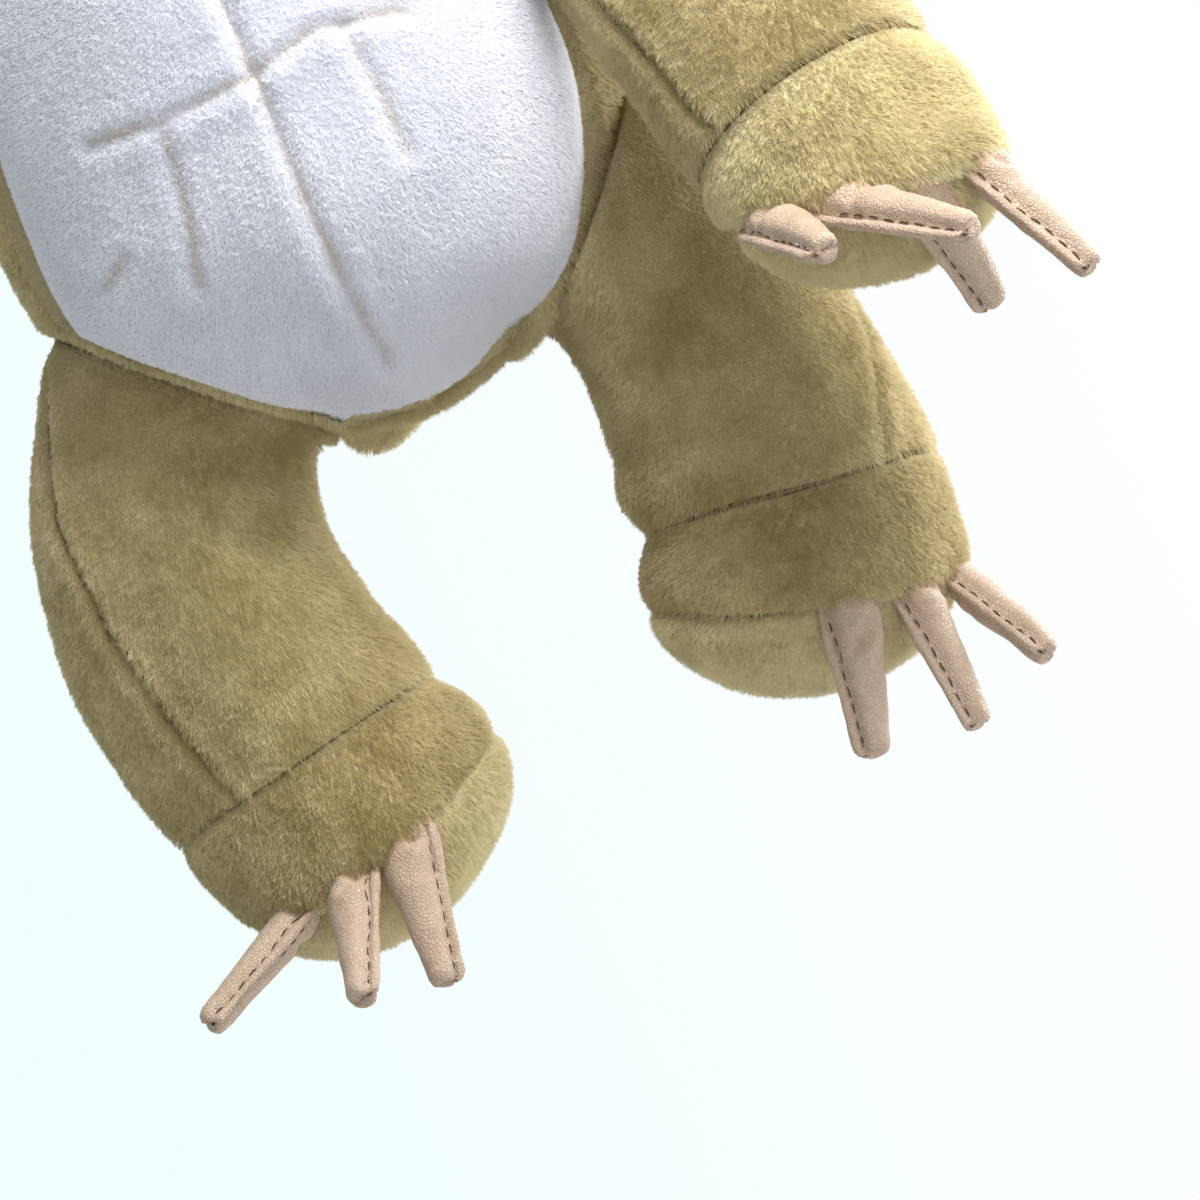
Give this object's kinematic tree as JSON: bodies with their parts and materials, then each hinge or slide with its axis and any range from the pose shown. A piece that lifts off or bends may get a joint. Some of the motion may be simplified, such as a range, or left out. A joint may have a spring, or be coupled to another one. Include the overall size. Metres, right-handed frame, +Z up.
{
  "type": "plush sloth",
  "caption": "Stuffed plush sloth with a white belly, long limbs and soft folded claws, seamed limbs that swing and a head that turns.",
  "frame": {"origin": "middle of the flat seat under the torso", "axes": "+Z up the back to the crown, -Y to the toy's front, +X to its own left"},
  "size_m": [0.2173, 0.2304, 0.3612],
  "materials": {
    "tan_plush": "short combed pile",
    "white_plush": "short soft pile",
    "cream_plush": "short soft pile",
    "dark_plush": "short soft pile",
    "claw_leather": "imitation leather, satin, fine pebble grain",
    "black_plastic": "glossy",
    "white_plastic": "plain",
    "nose_fabric": "smooth padded fabric and thread",
    "fibre_fill": "loose polyester fibre"
  },
  "bodies": {
    "torso": {"torso_back_cover": "tan_plush", "belly_panel": "white_plush", "torso_filling": "fibre_fill"},
    "leg_left": {"leg_cover_left": "tan_plush", "leg_filling_left": "fibre_fill"},
    "foot_left": {"foot_band_left": "tan_plush", "sole_left": "tan_plush", "foot_filling_left": "fibre_fill"},
    "arm_left": {"arm_cover_left": "tan_plush", "arm_filling_left": "fibre_fill"},
    "hand_left": {"hand_back_left": "tan_plush", "palm_left": "tan_plush", "hand_filling_left": "fibre_fill"},
    "foot_claw_left_1": {"foot_claw_left_1": "claw_leather"},
    "foot_claw_left_2": {"foot_claw_left_2": "claw_leather"},
    "foot_claw_left_3": {"foot_claw_left_3": "claw_leather"},
    "hand_claw_left_1": {"hand_claw_left_1": "claw_leather"},
    "hand_claw_left_2": {"hand_claw_left_2": "claw_leather"},
    "hand_claw_left_3": {"hand_claw_left_3": "claw_leather"},
    "hand_claw_left_4": {"hand_claw_left_4": "claw_leather"},
    "leg_right": {"leg_cover_right": "tan_plush", "leg_filling_right": "fibre_fill"},
    "foot_right": {"foot_band_right": "tan_plush", "sole_right": "tan_plush", "foot_filling_right": "fibre_fill"},
    "arm_right": {"arm_cover_right": "tan_plush", "arm_filling_right": "fibre_fill"},
    "hand_right": {"hand_back_right": "tan_plush", "palm_right": "tan_plush", "hand_filling_right": "fibre_fill"},
    "foot_claw_right_1": {"foot_claw_right_1": "claw_leather"},
    "foot_claw_right_2": {"foot_claw_right_2": "claw_leather"},
    "foot_claw_right_3": {"foot_claw_right_3": "claw_leather"},
    "hand_claw_right_1": {"hand_claw_right_1": "claw_leather"},
    "hand_claw_right_2": {"hand_claw_right_2": "claw_leather"},
    "hand_claw_right_3": {"hand_claw_right_3": "claw_leather"},
    "hand_claw_right_4": {"hand_claw_right_4": "claw_leather"},
    "tail": {"tail": "tan_plush"},
    "head": {"eye_left": "black_plastic", "eye_washer_left": "white_plastic", "eye_right": "black_plastic", "eye_washer_right": "white_plastic", "head_cover": "tan_plush", "face_panel": "cream_plush", "head_filling": "fibre_fill", "eye_patch_left": "dark_plush", "eye_patch_right": "dark_plush", "nose": "nose_fabric", "mouth_stitch": "nose_fabric"}
  },
  "joints": [
    {"name": "hip_left", "type": "hinge", "parent": "torso", "child": "leg_left", "pos_m": [0.04471, 0.00505, 0.02429], "axis": [-0.7034, -0.172, 0.6897], "range_deg": [-40, 18]},
    {"name": "ankle_left", "type": "hinge", "parent": "leg_left", "child": "foot_left", "pos_m": [0.06321, 0.00305, -0.04221], "axis": [0.1323, 0, 0.9912], "range_deg": [-20, 20]},
    {"name": "shoulder_left", "type": "hinge", "parent": "torso", "child": "arm_left", "pos_m": [0.04829, 0.002, 0.13307], "axis": [-0.9744, 0, -0.225], "range_deg": [-2, 100]},
    {"name": "wrist_left", "type": "hinge", "parent": "arm_left", "child": "hand_left", "pos_m": [0.09279, -0.058, 0.02207], "axis": [-0.1564, 0.2888, 0.9445], "range_deg": [-25, 25]},
    {"name": "foot_claw_left_1_flop", "type": "hinge", "parent": "foot_left", "child": "foot_claw_left_1", "pos_m": [0.06295, -0.02476, -0.06632], "axis": [-0.9322, -0.2191, 0.2883], "range_deg": [-6, 24], "stiffness_Nm_per_rad": 0.01},
    {"name": "foot_claw_left_2_flop", "type": "hinge", "parent": "foot_left", "child": "foot_claw_left_2", "pos_m": [0.07578, -0.01815, -0.06885], "axis": [-0.7316, -0.6614, 0.1652], "range_deg": [-6, 24], "stiffness_Nm_per_rad": 0.01},
    {"name": "foot_claw_left_3_flop", "type": "hinge", "parent": "foot_left", "child": "foot_claw_left_3", "pos_m": [0.08457, -0.00433, -0.06907], "axis": [-0.594, -0.7258, 0.3469], "range_deg": [-6, 24], "stiffness_Nm_per_rad": 0.01},
    {"name": "hand_claw_left_1_flop", "type": "hinge", "parent": "hand_left", "child": "hand_claw_left_1", "pos_m": [0.07549, -0.07431, 0.00414], "axis": [-0.9813, -0.1219, -0.1492], "range_deg": [-6, 24], "stiffness_Nm_per_rad": 0.01},
    {"name": "hand_claw_left_2_flop", "type": "hinge", "parent": "hand_left", "child": "hand_claw_left_2", "pos_m": [0.0884, -0.08297, 0.00132], "axis": [-0.8245, -0.4875, -0.2874], "range_deg": [-6, 24], "stiffness_Nm_per_rad": 0.01},
    {"name": "hand_claw_left_3_flop", "type": "hinge", "parent": "hand_left", "child": "hand_claw_left_3", "pos_m": [0.10316, -0.08319, -0.0006], "axis": [-0.9324, -0.2027, -0.2993], "range_deg": [-6, 24], "stiffness_Nm_per_rad": 0.01},
    {"name": "hand_claw_left_4_flop", "type": "hinge", "parent": "hand_left", "child": "hand_claw_left_4", "pos_m": [0.11422, -0.07716, -0.00122], "axis": [-0.6544, -0.7521, 0.0783], "range_deg": [-6, 24], "stiffness_Nm_per_rad": 0.01},
    {"name": "hip_right", "type": "hinge", "parent": "torso", "child": "leg_right", "pos_m": [-0.03771, 0.003, 0.02389], "axis": [-0.7034, 0, -0.7108], "range_deg": [-40, 30]},
    {"name": "ankle_right", "type": "hinge", "parent": "leg_right", "child": "foot_right", "pos_m": [-0.04721, 0.001, -0.05171], "axis": [0.1822, 0, -0.9833], "range_deg": [-20, 20]},
    {"name": "shoulder_right", "type": "hinge", "parent": "torso", "child": "arm_right", "pos_m": [-0.04829, 0.002, 0.13307], "axis": [-0.9744, 0, 0.225], "range_deg": [-97, 10]},
    {"name": "wrist_right", "type": "hinge", "parent": "arm_right", "child": "hand_right", "pos_m": [-0.05045, -0.11049, 0.20548], "axis": [0.142, -0.9267, 0.3479], "range_deg": [-25, 25]},
    {"name": "foot_claw_right_1_flop", "type": "hinge", "parent": "foot_right", "child": "foot_claw_right_1", "pos_m": [-0.03391, -0.02599, -0.07307], "axis": [-0.9947, 0.0042, 0.1025], "range_deg": [-6, 24], "stiffness_Nm_per_rad": 0.01},
    {"name": "foot_claw_right_2_flop", "type": "hinge", "parent": "foot_right", "child": "foot_claw_right_2", "pos_m": [-0.0461, -0.02586, -0.0765], "axis": [-0.9201, 0.3682, -0.1338], "range_deg": [-6, 24], "stiffness_Nm_per_rad": 0.01},
    {"name": "foot_claw_right_3_flop", "type": "hinge", "parent": "foot_right", "child": "foot_claw_right_3", "pos_m": [-0.05753, -0.02039, -0.07865], "axis": [-0.4943, 0.8692, 0.016], "range_deg": [-6, 24], "stiffness_Nm_per_rad": 0.01},
    {"name": "hand_claw_right_1_flop", "type": "hinge", "parent": "hand_right", "child": "hand_claw_right_1", "pos_m": [-0.02691, -0.12309, 0.21958], "axis": [-0.5546, 0.1563, 0.8173], "range_deg": [-6, 24], "stiffness_Nm_per_rad": 0.01},
    {"name": "hand_claw_right_2_flop", "type": "hinge", "parent": "hand_right", "child": "hand_claw_right_2", "pos_m": [-0.03547, -0.12734, 0.22915], "axis": [-0.823, -0.1677, 0.5428], "range_deg": [-6, 24], "stiffness_Nm_per_rad": 0.01},
    {"name": "hand_claw_right_3_flop", "type": "hinge", "parent": "hand_right", "child": "hand_claw_right_3", "pos_m": [-0.04646, -0.13165, 0.23299], "axis": [-0.9878, -0.1528, -0.0301], "range_deg": [-6, 24], "stiffness_Nm_per_rad": 0.01},
    {"name": "hand_claw_right_4_flop", "type": "hinge", "parent": "hand_right", "child": "hand_claw_right_4", "pos_m": [-0.05878, -0.13566, 0.23104], "axis": [-0.8036, -0.1723, -0.5697], "range_deg": [-6, 24], "stiffness_Nm_per_rad": 0.01},
    {"name": "tail_swing", "type": "hinge", "parent": "torso", "child": "tail", "pos_m": [0, 0.03727, 0.02387], "axis": [0, 0.8988, -0.4384], "range_deg": [-40, 100]},
    {"name": "neck_turn", "type": "hinge", "parent": "torso", "child": "head", "pos_m": [0, 0, 0.1653], "axis": [0, 0, 1], "range_deg": [-60, 60]}
  ]
}
